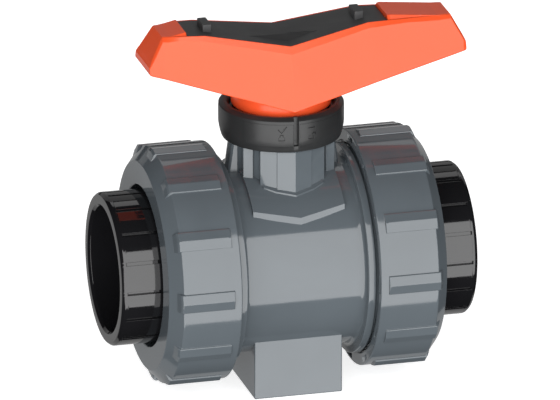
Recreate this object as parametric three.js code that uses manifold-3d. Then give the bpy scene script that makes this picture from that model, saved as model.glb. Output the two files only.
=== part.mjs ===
// Manual true-union ball valve, DN50 with 63 mm solvent-cement sockets.
// Millimetres, +Z up. The origin is the centre of the mounting base's underside.
// The pipe axis runs along X at height PIPE_Z, and the stem axis is Z.
import * as THREE from 'three';
import { mergeVertices } from 'three/addons/utils/BufferGeometryUtils.js';
import Module from 'manifold-3d';

const wasm = await Module();
wasm.setup();

// ---------------------------------------------------------------- driving dimensions
const PIPE_Z = 64;            // base underside to pipe axis
const GAP = 0.3;              // running and assembly gap
const SEG = 36;               // facets round the large turned pieces

const FLOW_R = 25;            // DN50 flow way
const SOCKET_R = 31.5;        // 63 mm pipe socket
const SOCKET_DEPTH = 38;
const END_X = 91.5;           // half of the overall length, 183 mm
const END_OUT_R = 38.5;
const COLLAR_R = 49;
const BODY_END_X = 50.5;      // half of the body's face-to-face length, 101 mm

const BODY_R = 47.6;
const FLANGE_R = 53;
const FLANGE_X0 = 32.4;
const FLANGE_X1 = 34.8;
const SPIGOT_R = 50.2;        // root of the external thread
const CHAMBER_R = 37;
const BUSH_BORE_R = 44.5;

const NUT_IN_X = 35.5;
const NUT_OUT_X = 71.5;
const NUT_R = 59.7;
const NUT_APEX_R = 61.2;
const NUT_RIBS = 12;
const RIB_W = 9.5;
const NUT_THREAD_R = 52.6;    // crest clearance of the internal thread
const NUT_BORE_R = 41;

const BALL_R = 36;
const NECK_R = 26.6;
const NECK_TOP = PIPE_Z + 64; // shoulder that carries the lock ring
const COLLAR_TOP = PIPE_Z + 79;
const RING_R = 31.1;
const HUB_R = 25.1;
const STEM_R = 11.4;
const STEM_BORE_R = 12;

const BASE_X = 22.6;
const BASE_Y = 33.6;
const INSERT_Y = 22.5;        // two M8 inserts, 45 mm apart
const INSERT_R = 5;
const INSERT_L = 15;

// ---------------------------------------------------------------- helpers
function closed(geometry) {
  let g = geometry.clone();
  g.deleteAttribute('normal');
  g.deleteAttribute('uv');
  g = mergeVertices(g, 1e-4);
  const pos = g.getAttribute('position').array;
  const idx = g.getIndex().array;
  const tri = [];
  for (let i = 0; i < idx.length; i += 3) {
    const [a, b, c] = [idx[i], idx[i + 1], idx[i + 2]];
    if (a !== b && b !== c && c !== a) tri.push(a, b, c);
  }
  let vol = 0;
  for (let i = 0; i < tri.length; i += 3) {
    const [a, b, c] = [tri[i] * 3, tri[i + 1] * 3, tri[i + 2] * 3];
    vol += pos[a] * (pos[b + 1] * pos[c + 2] - pos[b + 2] * pos[c + 1])
      - pos[a + 1] * (pos[b] * pos[c + 2] - pos[b + 2] * pos[c])
      + pos[a + 2] * (pos[b] * pos[c + 1] - pos[b + 1] * pos[c]);
  }
  if (vol < 0) for (let i = 0; i < tri.length; i += 3) [tri[i + 1], tri[i + 2]] = [tri[i + 2], tri[i + 1]];
  return new wasm.Manifold(new wasm.Mesh({
    numProp: 3,
    vertProperties: new Float32Array(pos),
    triVerts: new Uint32Array(tri),
  }));
}

// profile: [axial, radius] pairs, closed on themselves or on the axis
function latheX(profile, seg, cz = PIPE_Z, turn = 0) {
  const pts = profile.map(([x, r]) => new THREE.Vector2(r, x));
  const onAxis = profile[0][1] === 0 && profile[profile.length - 1][1] === 0;
  if (!onAxis) pts.push(pts[0].clone());
  const g = new THREE.LatheGeometry(pts, seg);
  g.rotateY(turn);
  g.rotateZ(-Math.PI / 2);   // lathe axis Y becomes X
  g.translate(0, 0, cz);
  return closed(g);
}
function latheZ(profile, seg, cx = 0, cy = 0, turn = 0) {
  const pts = profile.map(([z, r]) => new THREE.Vector2(r, z));
  const onAxis = profile[0][1] === 0 && profile[profile.length - 1][1] === 0;
  if (!onAxis) pts.push(pts[0].clone());
  const g = new THREE.LatheGeometry(pts, seg);
  g.rotateY(turn);
  g.rotateX(Math.PI / 2);    // lathe axis Y becomes Z
  g.translate(cx, cy, 0);
  return closed(g);
}
function torusProfile(axial, radius, r, n = 6) {
  const p = [];
  for (let i = 0; i < n; i++) {
    const a = (i + 0.5) / n * 2 * Math.PI;
    p.push([axial + r * Math.cos(a), radius + r * Math.sin(a)]);
  }
  return p;
}
function box(x0, x1, y0, y1, z0, z1) {
  const g = new THREE.BoxGeometry(x1 - x0, y1 - y0, z1 - z0);
  g.translate((x0 + x1) / 2, (y0 + y1) / 2, (z0 + z1) / 2);
  return closed(g);
}
// polygon in XY, extruded along Z
function prism(points, z0, z1) {
  const s = new THREE.Shape(points.map(([x, y]) => new THREE.Vector2(x, y)));
  const g = new THREE.ExtrudeGeometry(s, { depth: z1 - z0, bevelEnabled: false });
  g.translate(0, 0, z0);
  return closed(g);
}
// sections: list of rings of [x, y, z] with the same count, lofted and capped
function loft(sections) {
  const n = sections[0].length;
  const pos = [];
  sections.forEach((s) => s.forEach((p) => pos.push(...p)));
  const idx = [];
  for (let k = 0; k + 1 < sections.length; k++) {
    for (let i = 0; i < n; i++) {
      const j = (i + 1) % n;
      const a = k * n + i, b = k * n + j, c = a + n, d = b + n;
      idx.push(a, b, d, a, d, c);
    }
  }
  for (let i = 1; i + 1 < n; i++) {
    idx.push(0, i + 1, i);
    const o = (sections.length - 1) * n;
    idx.push(o, o + i, o + i + 1);
  }
  const g = new THREE.BufferGeometry();
  g.setAttribute('position', new THREE.Float32BufferAttribute(pos, 3));
  g.setIndex(idx);
  return closed(g);
}
const root = new THREE.Group();
root.name = 'true_union_ball_valve';
function put(name, solid, color, roughness, metalness = 0) {
  const m = solid.getMesh();
  const g = new THREE.BufferGeometry();
  g.setAttribute('position', new THREE.Float32BufferAttribute(Float32Array.from(m.vertProperties), 3));
  g.setIndex(Array.from(m.triVerts));
  g.computeVertexNormals();
  const mesh = new THREE.Mesh(g, new THREE.MeshStandardMaterial({ color, roughness, metalness }));
  mesh.name = name;
  root.add(mesh);
}
const GREY = 0x60686e, BLACK = 0x17181a, ORANGE = 0xff5a2d, PTFE = 0xefeee8, RUBBER = 0x141414, BRASS = 0xc9a24a;
const mirror = (profile) => profile.map(([x, r]) => [-x, r]);

// ---------------------------------------------------------------- valve body
const bodyOuter = latheX([
  [-BODY_END_X, 0], [-BODY_END_X, SPIGOT_R - 1], [-BODY_END_X + 1, SPIGOT_R], [-FLANGE_X1, SPIGOT_R],
  [-FLANGE_X1, FLANGE_R], [-FLANGE_X0, FLANGE_R], [-31.4, 50.4], [-30.2, 48.6], [-28.4, BODY_R],
  [28.4, BODY_R], [30.2, 48.6], [31.4, 50.4], [FLANGE_X0, FLANGE_R], [FLANGE_X1, FLANGE_R],
  [FLANGE_X1, SPIGOT_R], [BODY_END_X - 1, SPIGOT_R], [BODY_END_X, SPIGOT_R - 1], [BODY_END_X, 0],
], SEG);
// fluted neck: flat panels parted by upright recesses, with a ridge front and back
const neckPoly = [];
{
  const half = [[0, 28.0], [8.6, 25.5], [8.6, 23.6], [10.2, 23.2], [10.6, 24.9], [16.6, 21.3], [16.0, 20.0],
    [17.6, 18.8], [18.6, 19.9], [22.6, 14.2], [21.6, 13.4], [22.4, 12.0], [23.8, 12.4], [26.6, 0]];
  const q = half.map(([x, y]) => [x, -y]);                       // front right
  const back = half.slice(0, -1).reverse().map(([x, y]) => [x, y]);
  const left = q.concat(back).reverse().map(([x, y]) => [-x, y]);
  neckPoly.push(...q, ...back, ...left.filter(([x]) => x < -1e-6));
}
const neck = prism(neckPoly, PIPE_Z + 20, NECK_TOP);
const neckCollar = latheZ([[PIPE_Z + 40, 0], [PIPE_Z + 40, 23.6], [COLLAR_TOP, 23.6], [COLLAR_TOP, 0]], SEG);
const base = box(-BASE_X, BASE_X, -BASE_Y, BASE_Y, 0, PIPE_Z - 10);
// plain raised shield on the front of the body
const shield = latheX([[-26, 0], [-26, 49.6], [26, 49.6], [26, 0]], SEG).intersect(
  (() => {
    const s = new THREE.Shape([[-22.8, 36], [0, 29.8], [22.8, 36], [20, 60], [-20, 60]]
      .map(([x, z]) => new THREE.Vector2(x, z + PIPE_Z)));
    const g = new THREE.ExtrudeGeometry(s, { depth: 60, bevelEnabled: false });
    g.rotateX(Math.PI / 2);                                      // shape plane becomes XZ, depth towards -Y
    return closed(g);
  })());
const bodyCavity = latheX([
  [-60, 0], [-60, FLOW_R], [-31.5, FLOW_R], [-31.5, 34.6], [-22, 34.6], [-22, CHAMBER_R],
  [24, CHAMBER_R], [24, BUSH_BORE_R], [60, BUSH_BORE_R], [60, 0],
], SEG);
const leftBackGroove = latheX([[-34.2, 28.4], [-34.2, 31.6], [-31, 31.6], [-31, 28.4]], SEG);
const leftFaceGroove = latheX([[-47.2, 29.7], [-47.2, 33.3], [-51, 33.3], [-51, 29.7]], SEG);
const stemBore = latheZ([[PIPE_Z + 30, 0], [PIPE_Z + 30, 15.6], [PIPE_Z + 42.7, 15.6],
  [PIPE_Z + 42.7, STEM_BORE_R], [COLLAR_TOP + 2, STEM_BORE_R], [COLLAR_TOP + 2, 0]], 24);
const insertHole = (y) => latheZ([[-2, 0], [-2, INSERT_R + GAP], [INSERT_L + 0.8, INSERT_R + GAP], [INSERT_L + 0.8, 0]], 16, 0, y);
let body = bodyOuter.add(neck).add(neckCollar).add(base).add(shield);
body = body.subtract(bodyCavity).subtract(leftBackGroove).subtract(leftFaceGroove).subtract(stemBore)
  .subtract(insertHole(INSERT_Y)).subtract(insertHole(-INSERT_Y));
put('valve_body', body, GREY, 0.3);

// ---------------------------------------------------------------- union bush (threaded seat carrier)
let bush = latheX([
  [24.3, 34.6], [24.3, 44.2], [26.6, 44.2], [26.6, 41.4], [30.2, 41.4], [30.2, 44.2], [50.3, 44.2],
  [50.3, 33.3], [47.2, 33.3], [47.2, 29.7], [50.3, 29.7], [50.3, FLOW_R], [31.5, FLOW_R],
  [31.5, 28.4], [34.2, 28.4], [34.2, 31.6], [31.5, 31.6], [31.5, 34.6],
], SEG);
for (const s of [-1, 1]) bush = bush.subtract(box(46.3, 52, s > 0 ? 36.8 : -42.2, s > 0 ? 42.2 : -36.8, PIPE_Z - 5.8, PIPE_Z + 5.8));
put('union_bush', bush, GREY, 0.35);
put('union_bush_oring', latheX(torusProfile(28.4, 42.9, 1.2), 30), RUBBER, 0.6);

// ---------------------------------------------------------------- ball and stem
const sphere = new THREE.SphereGeometry(BALL_R, 24, 16);
sphere.rotateX(Math.PI / 2);
sphere.translate(0, 0, PIPE_Z);
let ball = closed(sphere)
  .subtract(latheX([[-40, 0], [-40, FLOW_R], [40, FLOW_R], [40, 0]], SEG))
  .subtract(box(-4.3, 4.3, -20, 20, PIPE_Z + 30, PIPE_Z + 40));
put('ball', ball, 0x6a7278, 0.12);
const sq = (h, z0, z1) => box(-h, h, -h, h, z0, z1);
let stem = latheZ([
  [PIPE_Z + 36.4, 0], [PIPE_Z + 36.4, 15], [PIPE_Z + 40.9, 15], [PIPE_Z + 40.9, STEM_R],
  [PIPE_Z + 50.2, STEM_R], [PIPE_Z + 50.2, 9.0], [PIPE_Z + 53.2, 9.0], [PIPE_Z + 53.2, STEM_R],
  [PIPE_Z + 60.2, STEM_R], [PIPE_Z + 60.2, 9.0], [PIPE_Z + 63.2, 9.0], [PIPE_Z + 63.2, STEM_R],
  [COLLAR_TOP - 0.4, STEM_R], [COLLAR_TOP - 0.4, 0],
], 24).add(sq(7, COLLAR_TOP - 6, PIPE_Z + 96))
  .add(box(-4, 4, -14, 14, PIPE_Z + 30.4, PIPE_Z + 38).intersect(latheZ([[PIPE_Z + 29, 0], [PIPE_Z + 29, 14], [PIPE_Z + 39, 14], [PIPE_Z + 39, 0]], 24)));
put('stem', stem, 0x3a3d40, 0.35);
put('stem_thrust_ring', latheZ([[PIPE_Z + 41.2, 11.9], [PIPE_Z + 41.2, 15.2], [PIPE_Z + 42.4, 15.2], [PIPE_Z + 42.4, 11.9]], 24), PTFE, 0.5);
put('stem_oring_lower', latheZ(torusProfile(PIPE_Z + 51.7, 10.5, 1.15), 18), RUBBER, 0.6);
put('stem_oring_upper', latheZ(torusProfile(PIPE_Z + 61.7, 10.5, 1.15), 18), RUBBER, 0.6);

// ---------------------------------------------------------------- ball seats and their backing rings
const seat = [[31.2, 25.2], [31.2, 34.3], [22.3, 34.3], [22.3, 29.0], [25.3, 26.3], [26.6, 25.2]];
put('seat_left', latheX(mirror(seat), SEG), PTFE, 0.45);
put('seat_right', latheX(seat, SEG), PTFE, 0.45);
put('seat_backing_oring_left', latheX(torusProfile(-32.7, 30, 1.15), 24), RUBBER, 0.6);
put('seat_backing_oring_right', latheX(torusProfile(32.7, 30, 1.15), 24), RUBBER, 0.6);

// ---------------------------------------------------------------- union ends, face O-rings and nuts
const endProfile = [
  [BODY_END_X + GAP, FLOW_R], [BODY_END_X + GAP, COLLAR_R], [58.1, COLLAR_R], [58.1, END_OUT_R],
  [89.8, END_OUT_R], [END_X, END_OUT_R - 1], [END_X, SOCKET_R], [END_X - SOCKET_DEPTH, SOCKET_R - 0.2], [END_X - SOCKET_DEPTH, FLOW_R],
];
put('union_end_left', latheX(mirror(endProfile), SEG), BLACK, 0.2);
put('union_end_right', latheX(endProfile, SEG), BLACK, 0.2);
put('face_oring_left', latheX(torusProfile(-48.95, 31.5, 1.4), 24), RUBBER, 0.6);
put('face_oring_right', latheX(torusProfile(48.95, 31.5, 1.4), 24), RUBBER, 0.6);

const nutProfile = [
  [NUT_IN_X, NUT_THREAD_R + 1], [NUT_IN_X, NUT_R - 1.6], [NUT_IN_X + 1.6, NUT_R], [65.2, NUT_R],
  [NUT_OUT_X, 52.6], [NUT_OUT_X, NUT_BORE_R], [58.4, 39.3], [58.4, NUT_THREAD_R], [NUT_IN_X + 1, NUT_THREAD_R],
];
function nut(sign) {
  let n = latheX(sign < 0 ? mirror(nutProfile) : nutProfile, SEG);
  const x0 = NUT_IN_X + 4.1, x1 = 66.6, x2 = 68.6;
  for (let i = 0; i < NUT_RIBS; i++) {
    // roof-shaped rib: two facets that meet on a ridge line, with a sloping outer end
    const w = RIB_W / 2, edge = NUT_R + 0.45, inner = NUT_R - 4;
    const sec = (x, lift) => [[x, -w, inner], [x, w, inner], [x, w, edge - lift], [x, 0, NUT_APEX_R - lift], [x, -w, edge - lift]]
      .map(([px, py, pz]) => [sign * px, py, pz]);
    const rib = loft([sec(x0, 0), sec(x1, 0), sec(x2, 2.4)]);
    const a = i * 360 / NUT_RIBS;
    n = n.add(rib.rotate([a, 0, 0]).translate([0, 0, PIPE_Z]));
  }
  return n;
}
put('union_nut_left', nut(-1), GREY, 0.3);
put('union_nut_right', nut(1), GREY, 0.3);

// ---------------------------------------------------------------- lock ring
let ring = latheZ([
  [NECK_TOP + GAP, 24.2], [NECK_TOP + GAP, 30], [NECK_TOP + 2, RING_R], [PIPE_Z + 80.5, RING_R],
  [PIPE_Z + 82, 29], [PIPE_Z + 82, 27.4], [PIPE_Z + 80, 25.9], [PIPE_Z + 78.7, 25.9], [PIPE_Z + 78.7, 24.2],
], SEG);
ring = ring.subtract(box(-1, 1, -33, -30.2, NECK_TOP - 1, PIPE_Z + 83));   // parting groove at the front
put('lock_ring', ring, 0x3c3e40, 0.5);

// ---------------------------------------------------------------- lever
// Each flank is one plane; it leans in as it rises and closes in towards the tips.
const flank = (x, z) => 46.2 - 0.2246 * z + (x < 0 ? 0.1187 : -0.096) * x;
// sections along X: [x, zBottom, zSide, zTop, halfTop]
const L = [
  [-71.2, 105.4, 109.0, 109.2, 13.4],
  [-63.5, 103.1, 122.1, 122.5, 10.9],
  [-52.0, 99.8, 121.6, 123.6, 11.7],
  [-42.5, 97.0, 120.9, 123.2, 12.0],
  [0.0, 84.6, 112.2, 116.2, 18.0],
  [41.2, 93.6, 120.5, 122.9, 12.9],
  [52.3, 96.0, 120.6, 122.6, 12.0],
  [84.6, 102.9, 120.9, 121.3, 10.6],
  [92.1, 104.6, 108.1, 108.3, 12.7],
];
function leverSection([x, zb, zs, zt, wt]) {
  const wb = flank(x, zb), ws = flank(x, zs);
  return [[x, -wb, PIPE_Z + zb], [x, wb, PIPE_Z + zb], [x, ws, PIPE_Z + zs],
    [x, wt, PIPE_Z + zt], [x, -wt, PIPE_Z + zt], [x, -ws, PIPE_Z + zs]];
}
let lever = loft(L.map(leverSection));
lever = lever.add(latheZ([[PIPE_Z + 80.2, 0], [PIPE_Z + 80.2, HUB_R - 0.8], [PIPE_Z + 81, HUB_R],
  [PIPE_Z + 96, HUB_R], [PIPE_Z + 96, 0]], SEG));
// raised pads on the tips, beyond the clip
const pad = (x0, z0, w0, x1, z1, w1) => loft([
  [[x0, -w0, PIPE_Z + z0 - 3], [x0, w0, PIPE_Z + z0 - 3], [x0, w0 - 0.8, PIPE_Z + z0], [x0, -w0 + 0.8, PIPE_Z + z0]],
  [[x1, -w1, PIPE_Z + z1 - 3], [x1, w1, PIPE_Z + z1 - 3], [x1, w1 - 0.8, PIPE_Z + z1], [x1, -w1 + 0.8, PIPE_Z + z1]],
]);
lever = lever.add(pad(-63.2, 122.6, 10.7, -52.3, 124.8, 11.2)).add(pad(52.5, 124.8, 11.6, 84.4, 121.4, 10.5));
// hollow undersides of both arms
const lerp = (a, b, t) => a.map((v, i) => v + (b[i] - v) * t);
function pocket(rowA, rowB, ta, tb) {
  const make = (row) => {
    const [x, zb, , zt] = row;
    const m = 2.8, wb = flank(x, zb - 4) - m, ws = flank(x, zt - 4.6) - m;
    return [[x, -wb, PIPE_Z + zb - 4], [x, wb, PIPE_Z + zb - 4], [x, ws, PIPE_Z + zt - 4.6], [x, -ws, PIPE_Z + zt - 4.6]];
  };
  return loft([make(lerp(rowA, rowB, ta)), make(lerp(rowA, rowB, tb))]);
}
lever = lever.subtract(pocket(L[1], L[2], 0.1, 1)).subtract(pocket(L[2], L[3], 0, 1)).subtract(pocket(L[3], L[4], 0, 0.36));
lever = lever.subtract(pocket(L[6], L[7], 0, 0.93)).subtract(pocket(L[5], L[6], 0, 1)).subtract(pocket(L[4], L[5], 0.66, 1));
// shallow seat for the clip, socket for the stem's square, slot for the clip's keel
const C = [
  [-52.0, 123.4, 10.9],
  [-42.5, 123.1, 11.3],
  [0.0, 116.2, 17.2],
  [41.2, 122.8, 12.2],
  [52.2, 122.6, 11.3],
];
const slab = (rows, lo, hi, dw, ex) => loft(rows.map(([x, z, w]) => {
  const px = x + Math.sign(x) * ex * (Math.abs(x) > 50 ? 1 : 0);
  return [[px, -w - dw, PIPE_Z + z + lo], [px, w + dw, PIPE_Z + z + lo], [px, w + dw, PIPE_Z + z + hi], [px, -w - dw, PIPE_Z + z + hi]];
}));
lever = lever.subtract(slab(C, -1.6, 6, GAP, GAP));
lever = lever.subtract(sq(7.3, PIPE_Z + 78, PIPE_Z + 96.4));
lever = lever.subtract(box(-15.3, 15.3, -5.3, 5.3, PIPE_Z + 107.5, PIPE_Z + 130));
put('handle', lever, ORANGE, 0.35);

// ---------------------------------------------------------------- clip on the lever, with two spanner lugs
let clip = slab(C, -1.3, 0.0, 0, 0);
for (const x of [-39.5, 38.5]) clip = clip.add(box(x - 2.3, x + 2.3, -5.7, 5.7, PIPE_Z + 121.9, PIPE_Z + 126.2));
clip = clip.add(box(-15, 15, -5, 5, PIPE_Z + 108, PIPE_Z + 115.9));
put('handle_clip', clip, 0x2c2d2e, 0.55);

// ---------------------------------------------------------------- threaded inserts in the base
const insertRing = (y) => latheZ([[0.2, 3.4], [0.2, INSERT_R], [INSERT_L, INSERT_R], [INSERT_L, 3.4]], 16, 0, y);
put('base_insert_front', insertRing(-INSERT_Y), BRASS, 0.35, 0.9);
put('base_insert_rear', insertRing(INSERT_Y), BRASS, 0.35, 0.9);

export default root;
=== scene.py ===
import math
import bpy
import bmesh
import numpy as np
from mathutils import Matrix, Vector


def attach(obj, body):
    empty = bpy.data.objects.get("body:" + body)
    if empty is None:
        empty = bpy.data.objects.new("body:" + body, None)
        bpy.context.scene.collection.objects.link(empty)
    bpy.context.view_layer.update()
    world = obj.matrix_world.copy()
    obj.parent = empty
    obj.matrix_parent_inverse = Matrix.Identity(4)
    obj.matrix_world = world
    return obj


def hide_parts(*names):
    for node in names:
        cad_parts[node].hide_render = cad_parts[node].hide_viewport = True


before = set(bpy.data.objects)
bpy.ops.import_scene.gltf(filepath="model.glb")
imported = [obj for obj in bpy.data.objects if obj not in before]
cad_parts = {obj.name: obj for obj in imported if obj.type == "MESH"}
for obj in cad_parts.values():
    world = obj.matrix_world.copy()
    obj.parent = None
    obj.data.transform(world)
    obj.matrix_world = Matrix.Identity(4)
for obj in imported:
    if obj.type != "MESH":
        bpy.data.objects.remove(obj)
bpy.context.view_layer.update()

scene = bpy.context.scene
MM = 0.001
PZ = 64.0                     # pipe axis above the base underside, mm
TAU = 2 * math.pi


# ------------------------------------------------------------------ mesh helpers (millimetres in, metres out)
def link(ob):
    scene.collection.objects.link(ob)
    return ob


def make(name, verts, faces, sharp=30.0):
    me = bpy.data.meshes.new(name)
    v = np.asarray(verts, float) * MM
    me.from_pydata([tuple(p) for p in v], [], [tuple(int(i) for i in f) for f in faces])
    me.validate()
    ob = link(bpy.data.objects.new(name, me))
    shade(ob, sharp)
    return ob


def shade(ob, sharp=30.0):
    me = ob.data
    bm = bmesh.new()
    bm.from_mesh(me)
    bmesh.ops.recalc_face_normals(bm, faces=bm.faces)
    bm.to_mesh(me)
    bm.free()
    me.polygons.foreach_set("use_smooth", [True] * len(me.polygons))
    me.set_sharp_from_angle(angle=math.radians(sharp))
    me.update()


def shade_by(ob, limit):
    """limit(x, y, z of an edge's middle, mm) -> the angle above which that edge is shown sharp."""
    me = ob.data
    bm = bmesh.new()
    bm.from_mesh(me)
    bmesh.ops.recalc_face_normals(bm, faces=bm.faces)
    for f in bm.faces:
        f.smooth = True
    for e in bm.edges:
        if len(e.link_faces) == 2:
            m = (e.verts[0].co + e.verts[1].co) * 500.0
            e.smooth = e.calc_face_angle(0.0) < math.radians(limit(m.x, m.y, m.z))
    bm.to_mesh(me)
    bm.free()
    me.update()
    return ob


def around_x(name, loop, phis, sharp=30.0):
    """loop(phi) -> list of (x, r), closed on itself. phi is measured about +X, from the front (-Y) towards +Z."""
    rows = []
    for p in phis:
        rows.append([(x, -r * math.cos(p), PZ + r * math.sin(p)) for x, r in loop(p)])
    return closed_grid(name, rows, sharp)


def around_z(name, loop, phis, sharp=30.0, z0=PZ):
    """loop(phi) -> list of (z, r) relative to the pipe axis. phi is measured about +Z from the front, -Y."""
    rows = []
    for p in phis:
        rows.append([(r * math.sin(p), -r * math.cos(p), z0 + z) for z, r in loop(p)])
    return closed_grid(name, rows, sharp)


def closed_grid(name, rows, sharp):
    n, k = len(rows), len(rows[0])
    verts = np.array(rows, float).reshape(-1, 3)
    faces = []
    for i in range(n):
        a, b = i * k, ((i + 1) % n) * k
        for j in range(k):
            m = (j + 1) % k
            faces.append((a + j, a + m, b + m, b + j))
    return make(name, verts, faces, sharp)


def even(n, start=0.0):
    return [start + i * TAU / n for i in range(n)]


def loft(name, sections, sharp=30.0):
    n = len(sections[0])
    verts = [p for s in sections for p in s]
    faces = []
    for k in range(len(sections) - 1):
        for i in range(n):
            j = (i + 1) % n
            faces.append((k * n + i, k * n + j, (k + 1) * n + j, (k + 1) * n + i))
    faces.append(tuple(range(n - 1, -1, -1)))
    faces.append(tuple((len(sections) - 1) * n + i for i in range(n)))
    return make(name, verts, faces, sharp)


def block(name, x0, x1, y0, y1, z0, z1, bevel=0.0, segments=2, only=None):
    """A box with its edges rounded in the mesh. only(edge centre, direction) picks edges."""
    bm = bmesh.new()
    vs = [bm.verts.new((x, y, z)) for x in (x0, x1) for y in (y0, y1) for z in (z0, z1)]
    for f in ((0, 1, 3, 2), (4, 6, 7, 5), (0, 4, 5, 1), (2, 3, 7, 6), (0, 2, 6, 4), (1, 5, 7, 3)):
        bm.faces.new([vs[i] for i in f])
    bmesh.ops.recalc_face_normals(bm, faces=bm.faces)
    if bevel:
        edges = [e for e in bm.edges if only is None or only((e.verts[0].co + e.verts[1].co) / 2, (e.verts[1].co - e.verts[0].co).normalized())]
        bmesh.ops.bevel(bm, geom=edges, offset=bevel, segments=segments, profile=0.5, affect="EDGES", clamp_overlap=True)
    bmesh.ops.scale(bm, vec=(MM, MM, MM), verts=bm.verts)
    me = bpy.data.meshes.new(name)
    bm.to_mesh(me)
    bm.free()
    ob = link(bpy.data.objects.new(name, me))
    shade(ob)
    return ob


def prism_z(name, pts, z0, z1, top=None):
    """Polygon in XY from z0 to z1; top gives another outline with the same count at z1."""
    low = [(x, y, z0) for x, y in pts]
    high = [(x, y, z1) for x, y in (top or pts)]
    return loft(name, [low, high])


def boolean(target, other, how, keep=False):
    mod = target.modifiers.new("cut", "BOOLEAN")
    mod.operation = how
    mod.solver = "EXACT"
    mod.object = other
    apply(target)
    if not keep:
        bpy.data.objects.remove(other)
    return target


def apply(ob):
    """Turns the modifiers into plain mesh."""
    deps = bpy.context.evaluated_depsgraph_get()
    deps.update()
    me = bpy.data.meshes.new_from_object(ob.evaluated_get(deps), preserve_all_data_layers=True, depsgraph=deps)
    old = ob.data
    ob.modifiers.clear()
    ob.data = me
    me.name = ob.name
    bpy.data.meshes.remove(old)
    return ob


def tidy(ob, sharp=30.0, merge=0.004):
    bm = bmesh.new()
    bm.from_mesh(ob.data)
    bmesh.ops.remove_doubles(bm, verts=bm.verts, dist=merge * MM)
    bmesh.ops.dissolve_degenerate(bm, edges=bm.edges, dist=merge * MM)
    bm.to_mesh(ob.data)
    bm.free()
    shade(ob, sharp)
    return ob


def bevel_sharp(ob, width, segments=2, angle=30.0, sharp=30.0):
    mod = ob.modifiers.new("bevel", "BEVEL")
    mod.width = width * MM
    mod.segments = segments
    mod.limit_method = "ANGLE"
    mod.angle_limit = math.radians(angle)
    mod.miter_outer = "MITER_ARC"
    mod.use_clamp_overlap = True
    apply(ob)
    shade(ob, sharp)
    return ob


# ------------------------------------------------------------------ materials
def nodes_of(mat):
    mat.use_nodes = True
    nt = mat.node_tree
    nt.nodes.clear()
    return nt, nt.nodes, nt.links


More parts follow.
